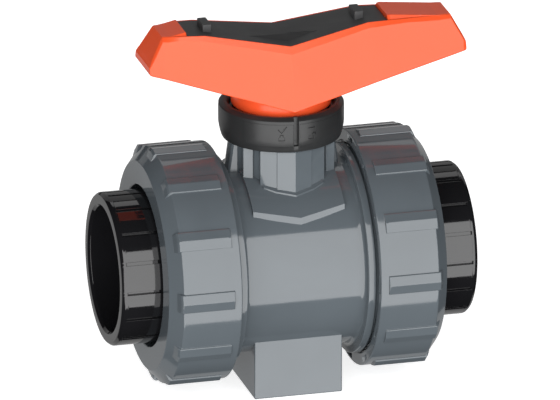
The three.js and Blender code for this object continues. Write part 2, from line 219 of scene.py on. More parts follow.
def plastic(name, colour, rough, ior=1.5, vary=0.05, grain=900.0, grain_depth=0.012, flow=0.25, flow_scale=22.0,
            rough_vary=0.05, round_mm=0.3, fleck=0.0, coat=0.0, metallic=0.0, edge=0.12):
    """Moulded plastic: slow colour drift, faint flow lines, fine surface grain, uneven gloss, and softened edges that
    pick up a little wear."""
    mat = bpy.data.materials.new(name)
    nt, N, L = nodes_of(mat)
    out = N.new("ShaderNodeOutputMaterial")
    bsdf = N.new("ShaderNodeBsdfPrincipled")
    L.new(bsdf.outputs[0], out.inputs[0])
    bsdf.inputs["IOR"].default_value = ior
    bsdf.inputs["Metallic"].default_value = metallic
    if coat:
        bsdf.inputs["Coat Weight"].default_value = coat
        bsdf.inputs["Coat Roughness"].default_value = 0.08
    tc = N.new("ShaderNodeTexCoord")
    drift = N.new("ShaderNodeTexNoise")
    drift.inputs["Scale"].default_value = flow_scale
    drift.inputs["Detail"].default_value = 3.0
    drift.inputs["Distortion"].default_value = 0.6
    L.new(tc.outputs["Object"], drift.inputs["Vector"])
    fine = N.new("ShaderNodeTexNoise")
    fine.inputs["Scale"].default_value = grain
    fine.inputs["Detail"].default_value = 2.0
    L.new(tc.outputs["Object"], fine.inputs["Vector"])
    # colour
    ramp = N.new("ShaderNodeValToRGB")
    c = np.array(colour[:3])
    ramp.color_ramp.elements[0].position = 0.3
    ramp.color_ramp.elements[1].position = 0.7
    ramp.color_ramp.elements[0].color = (*np.clip(c * (1 - vary), 0, 1), 1)
    ramp.color_ramp.elements[1].color = (*np.clip(c * (1 + vary), 0, 1), 1)
    L.new(drift.outputs["Fac"], ramp.inputs["Fac"])
    col = ramp.outputs["Color"]
    if fleck:
        spots = N.new("ShaderNodeTexVoronoi")
        spots.inputs["Scale"].default_value = 420.0
        L.new(tc.outputs["Object"], spots.inputs["Vector"])
        near = N.new("ShaderNodeMapRange")
        near.inputs["From Min"].default_value = 0.05
        near.inputs["From Max"].default_value = 0.16
        near.inputs["To Min"].default_value = fleck
        near.inputs["To Max"].default_value = 0.0
        L.new(spots.outputs["Distance"], near.inputs["Value"])
        mixf = N.new("ShaderNodeMix")
        mixf.data_type = "RGBA"
        L.new(near.outputs[0], mixf.inputs[0])
        L.new(col, mixf.inputs[6])
        mixf.inputs[7].default_value = (*np.clip(c * 1.7 + 0.01, 0, 1), 1)
        col = mixf.outputs[2]
    if edge:
        geo = N.new("ShaderNodeNewGeometry")
        pt = N.new("ShaderNodeMapRange")
        pt.inputs["From Min"].default_value = 0.53
        pt.inputs["From Max"].default_value = 0.62
        pt.inputs["To Min"].default_value = 0.0
        pt.inputs["To Max"].default_value = edge
        L.new(geo.outputs["Pointiness"], pt.inputs["Value"])
        mixe = N.new("ShaderNodeMix")
        mixe.data_type = "RGBA"
        L.new(pt.outputs[0], mixe.inputs[0])
        L.new(col, mixe.inputs[6])
        mixe.inputs[7].default_value = (*np.clip(c * 1.45 + 0.02, 0, 1), 1)
        col = mixe.outputs[2]
    L.new(col, bsdf.inputs["Base Color"])
    # roughness
    rr = N.new("ShaderNodeMapRange")
    rr.inputs["From Min"].default_value = 0.3
    rr.inputs["From Max"].default_value = 0.7
    rr.inputs["To Min"].default_value = max(rough - rough_vary, 0.02)
    rr.inputs["To Max"].default_value = rough + rough_vary
    rn = N.new("ShaderNodeTexNoise")
    rn.inputs["Scale"].default_value = 60.0
    rn.inputs["Detail"].default_value = 5.0
    L.new(tc.outputs["Object"], rn.inputs["Vector"])
    L.new(rn.outputs["Fac"], rr.inputs["Value"])
    L.new(rr.outputs[0], bsdf.inputs["Roughness"])
    # bump: grain over slow waviness, on rounded edges
    b1 = N.new("ShaderNodeBump")
    b1.inputs["Strength"].default_value = 1.0
    b1.inputs["Distance"].default_value = grain_depth * MM
    L.new(fine.outputs["Fac"], b1.inputs["Height"])
    b2 = N.new("ShaderNodeBump")
    b2.inputs["Strength"].default_value = 1.0
    b2.inputs["Distance"].default_value = flow * 0.1 * MM
    L.new(drift.outputs["Fac"], b2.inputs["Height"])
    L.new(b2.outputs[0], b1.inputs["Normal"])
    if round_mm:
        bev = N.new("ShaderNodeBevel")
        bev.samples = 4
        bev.inputs["Radius"].default_value = round_mm * MM
        L.new(bev.outputs[0], b2.inputs["Normal"])
    L.new(b1.outputs[0], bsdf.inputs["Normal"])
    return mat


M = {
    "grey": plastic("grey_pvc", (0.088, 0.103, 0.115), 0.09, ior=1.7, vary=0.05, grain=700, grain_depth=0.0012, flow=0.035, rough_vary=0.02, round_mm=0.1),
    "black": plastic("black_pvc", (0.008, 0.008, 0.009), 0.07, ior=1.7, vary=0.1, grain=700, grain_depth=0.0012, flow=0.025, rough_vary=0.02, round_mm=0.1, edge=0.1),
    "orange": plastic("orange_plastic", (0.80, 0.085, 0.022), 0.24, ior=1.46, vary=0.03, grain=900, grain_depth=0.0025, flow=0.08, rough_vary=0.03, round_mm=0.2, edge=0.06),
    "ring": plastic("satin_black", (0.02, 0.0205, 0.021), 0.34, ior=1.5, vary=0.08, grain=1400, grain_depth=0.006, flow=0.1, round_mm=0.25, fleck=0.02),
    "clip": plastic("clip_plastic", (0.040, 0.040, 0.041), 0.46, ior=1.46, vary=0.08, grain=1500, grain_depth=0.008, flow=0.08, round_mm=0.2, fleck=0.03),
    "ball": plastic("ball_plastic", (0.13, 0.145, 0.16), 0.06, ior=1.55, vary=0.03, grain=500, grain_depth=0.0008, flow=0.03, rough_vary=0.02),
    "stem": plastic("stem_plastic", (0.06, 0.065, 0.07), 0.22, vary=0.06, grain=900, grain_depth=0.003),
    "ptfe": plastic("ptfe", (0.78, 0.77, 0.73), 0.36, ior=1.38, vary=0.02, grain=1200, grain_depth=0.004, edge=0.0),
    "rubber": plastic("epdm", (0.014, 0.014, 0.014), 0.42, vary=0.15, grain=1600, grain_depth=0.01, round_mm=0.0, edge=0.0),
}


def brass():
    mat = bpy.data.materials.new("brass")
    nt, N, L = nodes_of(mat)
    out = N.new("ShaderNodeOutputMaterial")
    bsdf = N.new("ShaderNodeBsdfPrincipled")
    L.new(bsdf.outputs[0], out.inputs[0])
    bsdf.inputs["Metallic"].default_value = 1.0
    tc = N.new("ShaderNodeTexCoord")
    n = N.new("ShaderNodeTexNoise")
    n.inputs["Scale"].default_value = 300.0
    n.inputs["Detail"].default_value = 6.0
    L.new(tc.outputs["Object"], n.inputs["Vector"])
    ramp = N.new("ShaderNodeValToRGB")
    ramp.color_ramp.elements[0].color = (0.50, 0.33, 0.11, 1)
    ramp.color_ramp.elements[1].color = (0.74, 0.55, 0.24, 1)
    L.new(n.outputs["Fac"], ramp.inputs["Fac"])
    L.new(ramp.outputs[0], bsdf.inputs["Base Color"])
    mr = N.new("ShaderNodeMapRange")
    mr.inputs["To Min"].default_value = 0.22
    mr.inputs["To Max"].default_value = 0.42
    L.new(n.outputs["Fac"], mr.inputs["Value"])
    L.new(mr.outputs[0], bsdf.inputs["Roughness"])
    b = N.new("ShaderNodeBump")
    b.inputs["Distance"].default_value = 0.01 * MM
    L.new(n.outputs["Fac"], b.inputs["Height"])
    L.new(b.outputs[0], bsdf.inputs["Normal"])
    return mat


M["brass"] = brass()


def even_normals(ob):
    """Large flat faces keep their own normal; only the small rounded strips between them bend."""
    mod = ob.modifiers.new("normals", "WEIGHTED_NORMAL")
    mod.mode = "FACE_AREA"
    mod.weight = 50
    mod.keep_sharp = True
    return apply(ob)


def dress(ob, mat, body, slot, *nodes):
    even_normals(ob)
    ob.data.materials.clear()
    ob.data.materials.append(M[mat])
    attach(ob, body)
    if nodes:
        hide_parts(*nodes)
    return ob


# ------------------------------------------------------------------ threads shared by body spigots and nuts
PITCH = 5.0


def thread(x, phi, lo, hi, phase, x0, x1):
    """Rounded trapezoid thread: radius between lo and hi, crest where x - pitch*turns equals phase. Fades at x0 and x1."""
    u = (x - PITCH * phi / TAU - phase) / PITCH
    w = max(-1.0, min(1.0, 1.7 * math.cos(TAU * u) - 0.25))
    fade = max(0.0, min(1.0, min(x - x0, x1 - x) / 1.6))
    return lo + (hi - lo) * 0.5 * (1 + w) * fade


# ------------------------------------------------------------------ union nuts
def nut_phis():
    """Angles that follow the rib edges: [(phi, offset from the rib's centre line in mm or None)]"""
    out = []
    lat = [-5.1, -4.84, -4.76, -4.45, -2.4, -0.22, 0.22, 2.4, 4.45, 4.76, 4.84, 5.1]
    for i in range(12):
        c = i * TAU / 12
        for t in lat:
            out.append((c + math.atan2(t, 60.0), t))
        for k in range(1, 9):
            a0, a1 = math.atan2(5.1, 60.0), TAU / 12 - math.atan2(5.1, 60.0)
            out.append((c + a0 + (a1 - a0) * k / 9, None))
    return out


def rib_radius(t):
    """Height of the two-facet rib at t mm from its ridge."""
    a = abs(t)
    if a >= 5.1:
        return 59.7
    if a >= 4.84:
        return 59.75
    z = 61.25 - a * 0.235
    if a > 4.7:
        z -= 0.16
    return math.hypot(z, t)


def cone_radius(x):
    return 53.0 + (71.0 - x) * 1.165


def build_nut(name, sign):
    data = nut_phis()
    lookup = {round(p, 9): t for p, t in data}

    def loop(phi):
        t = lookup[round(phi, 9)]
        rib = t is not None and abs(t) < 4.9
        top = rib_radius(t) if t is not None else 59.7
        notch = t is not None and abs(t) < 4.5
        out = [(58.35, 39.6), (58.6, 39.4), (70.6, 40.6), (71.1, 40.75), (71.4, 41.0), (71.5, 41.4),
               (71.5, 46.5), (71.5, 52.0), (71.42, 52.45), (71.25, 52.75), (71.0, 53.0)]
        # cone, with the rib's sloping end lying on it
        for x in (70.0, 69.0, 68.45, 68.2):
            out.append((x, cone_radius(x)))
        for x, lift in ((67.95, 0.12), (67.0, 0.62), (66.2, 0.95), (65.95, 1.0)):
            base = min(cone_radius(x), 59.7)
            out.append((x, base + (top - base) * lift if rib else base))
        out.append((65.5, top if rib else 59.42))
        out.append((65.2, top if rib else 59.6))
        out.append((64.9, top if rib else 59.68))
        for x in (64.4, 60.0, 55.0, 50.0, 45.0, 41.0, 40.05):
            out.append((x, top if rib else 59.7))
        out.append((39.82, top - 0.04 if rib else 59.7))
        out.append((39.66, top - 0.2 if rib else 59.7))
        out.append((39.62, 59.78 if rib else 59.7))
        out.append((39.4, 59.7))
        out += [(38.4, 59.7), (36.4, 59.7), (36.05, 59.68), (35.8, 59.55), (35.62, 59.35), (35.53, 59.1)]
        # inner end ring face with a shallow notch at each rib
        d = 1.5 if notch else 0.0
        out += [(35.5, 58.4), (35.5 + d * 0.96, 58.25), (35.5 + d, 58.1), (35.5 + d, 56.0), (35.5 + d * 0.96, 55.85), (35.5, 55.7), (35.5, 54.4),
                (35.55, 53.9), (35.9, 53.2), (36.4, 52.7)]
        x = 36.8
        while x < 55.2:
            out.append((x, thread(sign * x, phi, 52.6, 50.95, 3.25, *sorted((sign * 36.6, sign * 55.0)))))
            x += 0.5
        out += [(55.6, 52.6), (58.0, 52.6), (58.3, 52.4), (58.35, 52.0), (58.35, 45.0)]
        return [(sign * x, r) for x, r in out]

    ob = around_x(name, loop, [p for p, _ in data], sharp=13)
    return ob


nut_l = dress(build_nut("nut_left", -1), "grey", "left_nut", "grey_pvc", "union_nut_left")
nut_r = dress(build_nut("nut_right", 1), "grey", "right_nut", "grey_pvc", "union_nut_right")


# ------------------------------------------------------------------ union ends
def end_phis():
    out = []
    for i in range(16):
        c = i * TAU / 16
        for t in (-1.15, -0.92, -0.86, -0.5, 0.5, 0.86, 0.92, 1.15):
            out.append((c + math.atan2(t, 38.5), t))
        a0, a1 = math.atan2(1.15, 38.5), TAU / 16 - math.atan2(1.15, 38.5)
        for k in range(1, 7):
            out.append((c + a0 + (a1 - a0) * k / 7, None))
    return out


def build_end(name, sign):
    data = end_phis()
    lookup = {round(p, 9): t for p, t in data}

    def loop(phi):
        t = lookup[round(phi, 9)]
        a = 9.0 if t is None else abs(t)
        depth = 0.0 if a > 1.0 else (0.06 if a > 0.9 else 1.4)
        g = 38.5 - depth
        out = [(50.8, 25.4), (50.95, 25.1), (51.3, 25.0), (52.4, 25.0), (53.5, 25.0), (53.5, 27.0), (53.5, 30.8), (53.6, 31.15), (53.9, 31.3)]
        out += [(60.0, 31.36), (70.0, 31.42), (80.0, 31.48), (89.6, 31.55), (90.2, 31.65), (91.1, 32.4), (91.4, 32.65), (91.5, 32.95)]
        out += [(91.5, 35.0), (91.5, 36.9), (91.44, 37.2), (91.3, 37.42), (90.1, 38.38), (89.8, 38.47), (89.5, 38.5)]
        out += [(89.0, 38.5), (88.72, 38.5 - depth * 0.15), (88.55, g + 0.05), (88.2, g), (80.0, g), (70.0, g), (60.5, g), (59.2, g), (58.6, g)]
        out += [(58.12, g), (58.1, 38.9), (58.1, 45.0), (58.1, 48.5), (57.95, 48.85), (57.6, 49.0), (53.0, 49.0), (51.3, 49.0), (50.95, 48.85),
                (50.8, 48.5), (50.8, 38.0)]
        return [(sign * x, r) for x, r in out]

    return around_x(name, loop, [p for p, _ in data], sharp=24)


dress(build_end("end_left", -1), "black", "left_end", "black_plastic", "union_end_left")
dress(build_end("end_right", 1), "black", "right_end", "black_plastic", "union_end_right")


# ------------------------------------------------------------------ rings, seats and seals
def torus_x(name, x, r, s, mat="rubber", slot="rubber", node=None):
    ob = around_x(name, lambda p: [(x + s * math.cos(a), r + s * math.sin(a)) for a in even(16)], even(96), sharp=80)
    return dress(ob, mat, "housing", slot, node)


def torus_z(name, z, r, s, body, node):
    ob = around_z(name, lambda p: [(z + s * math.cos(a), r + s * math.sin(a)) for a in even(14)], even(56), sharp=80)
    return dress(ob, "rubber", body, "rubber", node)


torus_x("bush_oring", 28.4, 42.9, 1.15, node="union_bush_oring")
torus_x("face_seal_left", -48.95, 31.5, 1.4, node="face_oring_left")
torus_x("face_seal_right", 48.95, 31.5, 1.4, node="face_oring_right")
torus_x("backing_seal_left", -32.7, 30.0, 1.15, node="seat_backing_oring_left")
torus_x("backing_seal_right", 32.7, 30.0, 1.15, node="seat_backing_oring_right")
torus_z("stem_seal_lower", 51.7, 10.5, 1.12, "lever", "stem_oring_lower")
torus_z("stem_seal_upper", 61.7, 10.5, 1.12, "lever", "stem_oring_upper")


def seat(name, sign, node):
    prof = [(31.2, 25.6), (31.2, 33.8), (30.9, 34.2), (30.5, 34.3), (22.8, 34.3), (22.4, 34.1), (22.3, 33.7), (22.3, 29.4), (22.5, 29.0)]
    for k in range(7):                       # contact face: a band of the ball's sphere, 0.25 mm clear of it
        a = math.radians(52.0 - k * 1.05)
        prof.append((36.28 * math.cos(a), 36.28 * math.sin(a)))
    prof += [(25.6, 26.0), (26.4, 25.3), (27.0, 25.2), (30.6, 25.2), (31.0, 25.3)]
    ob = around_x(name, lambda p: [(sign * x, r) for x, r in prof], even(120), sharp=28)
    return dress(ob, "ptfe", "housing", "ptfe", node)


seat("ball_seat_left", -1, "seat_left")
seat("ball_seat_right", 1, "seat_right")
thrust = around_z("thrust_washer", lambda p: [(41.2, 12.1), (41.2, 15.0), (41.35, 15.2), (42.25, 15.2), (42.4, 15.0), (42.4, 12.1), (42.25, 11.9), (41.35, 11.9)], even(64))
dress(thrust, "ptfe", "housing", "ptfe", "stem_thrust_ring")


def build_bush():
    prof = [(24.3, 35.0), (24.3, 43.8), (24.6, 44.15), (25.0, 44.2), (26.4, 44.2), (26.6, 44.0), (26.6, 41.6), (26.8, 41.4), (30.0, 41.4), (30.2, 41.6),
            (30.2, 44.0), (30.4, 44.2)]
    x = 31.5
    while x < 48.6:
        prof.append((x, None))
        x += 0.5
    prof += [(49.0, 44.2), (49.9, 44.2), (50.2, 44.0), (50.3, 43.6), (50.3, 33.5), (50.1, 33.3), (47.4, 33.3), (47.2, 33.1), (47.2, 29.9), (47.4, 29.7),
             (50.1, 29.7), (50.3, 29.5), (50.3, 25.4), (50.1, 25.0), (31.8, 25.0), (31.5, 25.3), (31.5, 28.4), (34.2, 28.4), (34.2, 31.6), (31.5, 31.6),
             (31.5, 34.4), (31.2, 34.6), (24.7, 34.6)]

    def loop(phi):
        return [(x, thread(x, phi, 43.3, 44.2, 0.0, 31.0, 49.2) if r is None else r) for x, r in prof]

    ob = around_x("seat_carrier", loop, even(120), sharp=26)
    for s in (-1, 1):
        y0, y1 = sorted((s * 36.9, s * 42.1))
        boolean(ob, block("slot", 46.3, 52.0, y0, y1, PZ - 5.8, PZ + 5.8, 0.5), "DIFFERENCE")
    return tidy(ob, 26)


dress(build_bush(), "grey", "housing", "grey_pvc", "union_bush")


# ------------------------------------------------------------------ ball and stem
def build_ball():
    prof = []
    edge = math.degrees(math.asin(25.6 / 36))
    for k in range(49):
        a = math.radians(edge + (180 - 2 * edge) * k / 48)
        prof.append((35.98 * math.cos(a), 35.98 * math.sin(a)))
    prof += [(-25.1, 25.25), (-24.6, 25.02), (-12.0, 25.0), (0.0, 25.0), (12.0, 25.0), (24.6, 25.02), (25.1, 25.25)]
    ob = around_x("drilled_ball", lambda p: prof, even(144), sharp=32)
    boolean(ob, block("slot", -4.3, 4.3, -24, 24, PZ + 30, PZ + 40, 0.6), "DIFFERENCE")
    return tidy(ob, 32)


dress(build_ball(), "ball", "lever", "ball_pvc", "ball")


def solid_z(name, prof, n=72, sharp=30.0):
    """Turned solid about Z. prof is (z, r) from axis to axis, closed by two caps."""
    verts, faces = [], []
    for z, r in prof:
        for p in even(n):
            verts.append((r * math.sin(p), -r * math.cos(p), PZ + z))
    k = len(prof)
    for j in range(k - 1):
        for i in range(n):
            m = (i + 1) % n
            faces.append((j * n + i, j * n + m, (j + 1) * n + m, (j + 1) * n + i))
    faces.append(tuple(range(n - 1, -1, -1)))
    faces.append(tuple((k - 1) * n + i for i in range(n)))
    return make(name, verts, faces, sharp)


stem = solid_z("spindle", [
    (36.4, 14.4), (36.5, 14.8), (36.9, 15.0), (40.5, 15.0), (40.8, 14.8), (40.9, 14.4), (40.9, 11.8), (41.2, 11.4), (50.0, 11.4), (50.2, 11.2), (50.2, 9.2),
    (50.4, 9.0), (53.0, 9.0), (53.2, 9.2), (53.2, 11.2), (53.4, 11.4), (60.0, 11.4), (60.2, 11.2), (60.2, 9.2), (60.4, 9.0), (63.0, 9.0), (63.2, 9.2),
    (63.2, 11.2), (63.4, 11.4), (78.0, 11.4), (78.6, 10.8)])
boolean(stem, block("square", -7, 7, -7, 7, PZ + 73, PZ + 96, 0.7), "UNION")
boolean(stem, block("tang", -4, 4, -12.6, 12.6, PZ + 30.5, PZ + 38, 0.6), "UNION")
dress(tidy(stem), "stem", "lever", "stem_plastic", "stem")


# ------------------------------------------------------------------ valve body
def body_phis():
    return even(216)


def build_body():
    def loop(phi):
        out = []
        # left end to right end, outside
        out += [(-50.5, 49.4), (-50.2, 49.9), (-49.8, 50.15)]
        x = -49.4
        while x < -35.2:
            out.append((x, None))
            x += 0.5
        out += [(-35.0, 50.2), (-34.85, 50.25), (-34.8, 50.5), (-34.8, 52.5), (-34.72, 52.8), (-34.5, 52.95), (-34.2, 53.0), (-32.4, 53.0), (-31.6, 53.0),
                (-31.3, 52.93), (-31.1, 52.7), (-31.05, 51.8), (-31.0, 50.2), (-30.93, 49.3), (-30.7, 48.7), (-30.3, 48.2), (-29.7, 47.85), (-29.0, 47.65), (-28.3, 47.6)]
        for x in range(-24, 25, 4):
            out.append((float(x), 47.6))
        out += [(28.3, 47.6), (29.0, 47.65), (29.7, 47.85), (30.3, 48.2), (30.7, 48.7), (30.93, 49.3), (31.0, 50.2), (31.05, 51.8), (31.1, 52.7), (31.3, 52.93),
                (31.6, 53.0), (32.4, 53.0), (34.2, 53.0), (34.5, 52.95), (34.72, 52.8), (34.8, 52.5), (34.8, 50.5), (34.85, 50.25), (35.0, 50.2)]
        x = 35.4
        while x < 49.5:
            out.append((x, None))
            x += 0.5
        out += [(49.8, 50.15), (50.2, 49.9), (50.5, 49.4)]
        # inside, right to left
        out += [(50.5, 45.2), (50.2, 44.6), (49.9, 44.5), (24.2, 44.5), (24.0, 44.3), (24.0, 37.2), (23.8, 37.0), (-21.8, 37.0), (-22.0, 36.8), (-22.0, 34.8),
                (-22.2, 34.6), (-31.3, 34.6), (-31.5, 34.4), (-31.5, 31.6), (-34.2, 31.6), (-34.2, 28.4), (-31.5, 28.4), (-31.5, 25.2), (-31.8, 25.0),
                (-50.1, 25.0), (-50.5, 25.3), (-50.5, 29.7), (-47.2, 29.7), (-47.2, 33.3), (-50.5, 33.3)]
        res = []
        for x, r in out:
            if r is None:
                r = thread(x, phi, 50.2, 51.75, 0.75, *((-50.4, -35.0) if x < 0 else (35.0, 50.4)))
            res.append((x, r))
        return res

    main = around_x("housing_shell", loop, body_phis(), sharp=26)

    # neck: stepped upright panels with a ridge to the front and back, flared a little at the sides
    half = [(0.0, 28.0), (8.8, 25.55), (8.82, 24.95), (12.8, 23.3), (16.4, 21.4), (16.2, 19.2), (15.4, 17.6), (18.1, 14.4), (18.9, 16.2), (23.35, 14.85),
            (23.2, 12.8), (22.3, 11.4), (22.7, 7.6), (24.0, 5.3), (25.4, 4.9), (26.3, 3.9), (26.7, 1.5), (26.7, 0.0)]
    q = [(x, -y) for x, y in half]
    back = [(x, y) for x, y in reversed(half[:-1])]
    right = q + back
    left = [(-x, y) for x, y in reversed(right) if x > 1e-6]
    outline = right + left

    def flare(pts, k):
        return [(x + (math.copysign(k * min(1.0, max(0.0, abs(x) - 24.0) / 1.4), x) if x else 0.0), y) for x, y in pts]

    neck = loft("neck", [
        [(x, y, PZ + 30) for x, y in flare(outline, 4.4)],
        [(x, y, PZ + 46) for x, y in flare(outline, 2.3)],
        [(x, y, PZ + 62.6) for x, y in outline],
        [(x * 0.985, y * 0.985, PZ + 63.4) for x, y in outline],
    ])
    collar = solid_z("neck_collar", [(45, 23.4), (62.6, 23.4), (63.4, 28.2), (63.9, 28.2), (64.0, 28.0), (64.0, 23.8), (64.2, 23.6), (78.6, 23.6), (79.0, 23.2)], 96)
    boolean(neck, collar, "UNION")

    # low step at the foot of the neck
    step = prism_z("neck_step", [(x * 1.055, y * 1.055) for x, y in [(0, -28.0), (9.2, -25.4), (14.6, -22.6), (14.6, 22.6), (9.2, 25.4),
                                                                    (0, 28.0), (-9.2, 25.4), (-14.6, 22.6), (-14.6, -22.6), (-9.2, -25.4)]],
                   PZ + 30, PZ + 60)
    cap = around_x("cap", lambda p: [(-30, 40.0), (-30, 50.35), (30, 50.35), (30, 40.0)], even(180))
    boolean(step, cap, "INTERSECT")
    boolean(neck, step, "UNION")

    # plain raised shield, front and back
    def shield(side):
        xs = sorted(set([round(-23.5 + 47.0 * i / 40, 4) for i in range(41)]))
        sections = []
        for x in xs:
            t = abs(x) / 23.5
            z_top, z_foot = 31.9 + (35.9 - 31.9) * t, 27.9 + (33.2 - 27.9) * t
            a_top = math.asin(z_top / 49.7)
            y_top = 49.7 * math.cos(a_top)
            y_foot = y_top + 0.15                        # the lit lower face is upright
            ring = [(y_foot - 3.0, z_foot), (y_foot, z_foot), (y_top, z_top)]
            ring += [(49.7 * math.cos(a), 49.7 * math.sin(a)) for a in [a_top + (math.radians(84) - a_top) * k / 12 for k in range(1, 13)]]
            ring += [(46.0 * math.cos(a), 46.0 * math.sin(a)) for a in [math.radians(84) - (math.radians(84) - a_top) * k / 10 for k in range(0, 11)]]
            sections.append([(x, side * y, PZ + z) for y, z in ring])
        return loft("shield", sections)

    for side in (-1, 1):
        boolean(neck, shield(side), "UNION")

    base = block("base", -22.6, 22.6, -33.6, 33.6, 0.0, PZ - 12, 0.7, 3, only=lambda c, d: c.z < PZ - 13)
    boolean(neck, base, "UNION")
    core = around_x("core", lambda p: [(-40, 2.0), (-40, 45.9), (40, 45.9), (40, 2.0)], even(216))
    boolean(neck, core, "DIFFERENCE")
    boolean(main, neck, "UNION")
    bore = solid_z("stem_bore", [(30, 15.6), (42.7, 15.6), (42.7, 12.3), (43.0, 12.0), (78.4, 12.0), (79.0, 12.6), (82, 12.6)], 72)
    boolean(main, bore, "DIFFERENCE")
    for y in (-22.5, 22.5):
        hole = solid_z("insert_hole", [(-66, 6.0), (-64, 6.0), (-63.4, 5.3), (-48.2, 5.3)], 48)
        hole.data.transform(Matrix.Translation((0, y * MM, 0)))
        boolean(main, hole, "DIFFERENCE")
    tidy(main, 26)
    return shade_by(main, lambda x, y, z: 9.0 if abs(x) < 34 and z > PZ + 38 and math.hypot(x, y) > 12.5 else (26.0 if z > 20 else 30.0))


body = dress(build_body(), "grey", "housing", "grey_pvc", "valve_body")


def build_insert(name, y, node):
    """Knurled brass insert with a thread in its bore."""
    def loop(phi):
        k = 0.16 * (1 if int(round(phi / TAU * 96)) % 2 else -1)
        out = [(0.5, 3.9), (0.2, 4.2), (0.2, 4.55), (0.45, 4.8), (1.6, 4.8), (1.9, 4.84 + k), (7.2, 4.84 + k), (7.5, 4.5), (8.3, 4.5), (8.6, 4.84 + k),
               (14.2, 4.84 + k), (14.6, 4.7), (15.0, 4.4), (15.0, 3.9)]
        z = 14.6
        while z > 0.7:
            out.append((z, 3.62 + 0.22 * math.cos(TAU * (z / 1.25 - phi / TAU))))
            z -= 0.3
        return out

    rows = [[(r * math.sin(p), y - r * math.cos(p), z) for z, r in loop(p)] for p in even(96)]
    return dress(closed_grid(name, rows, 30), "brass", "housing", "brass", node)


build_insert("threaded_insert_front", -22.5, "base_insert_front")
build_insert("threaded_insert_rear", 22.5, "base_insert_rear")


# ------------------------------------------------------------------ lock ring under the lever
def rect_on_ring(name, p0, width, z0, z1, r0, r1, tilt=0.0, n=6):
    """Cutter that follows the ring: an arc band centred at angle p0 (radians from the front), width mm wide."""
    half = width / 2 / 31.0
    secs = []
    for i in range(n + 1):
        p = p0 - half + 2 * half * i / n
        dz = tilt * (p - p0) * 31.0
        secs.append([(r * math.sin(p), -r * math.cos(p), PZ + z + dz) for r, z in ((r0, z0), (r1, z0), (r1, z1), (r0, z1))])
    return loft(name, secs)


def stroke(name, pts, width, r0, r1):
    """Polyline cutter wrapped on the ring: pts are (mm along the front, mm above the pipe axis)."""
    left, right = [], []
    for i, (s, z) in enumerate(pts):
        a = pts[max(0, i - 1)]
        b = pts[min(len(pts) - 1, i + 1)]
        d = np.array([b[0] - a[0], b[1] - a[1]], float)
        d /= np.linalg.norm(d)
        k = width / 2
        if 0 < i < len(pts) - 1:
            u = np.array([s - a[0], z - a[1]], float)
            u /= np.linalg.norm(u)
            k = k / max(0.35, abs(u[0] * d[0] + u[1] * d[1]))
        left.append((s - d[1] * k, z + d[0] * k))
        right.append((s + d[1] * k, z - d[0] * k))
    secs = []
    for (sl, zl), (sr, zr) in zip(left, right):
        sec = []
        for r, s, z in ((r0, sl, zl), (r1, sl, zl), (r1, sr, zr), (r0, sr, zr)):
            sec.append((r * math.sin(s / 31.0), -r * math.cos(s / 31.0), PZ + z))
        secs.append(sec)
    return loft(name, secs)


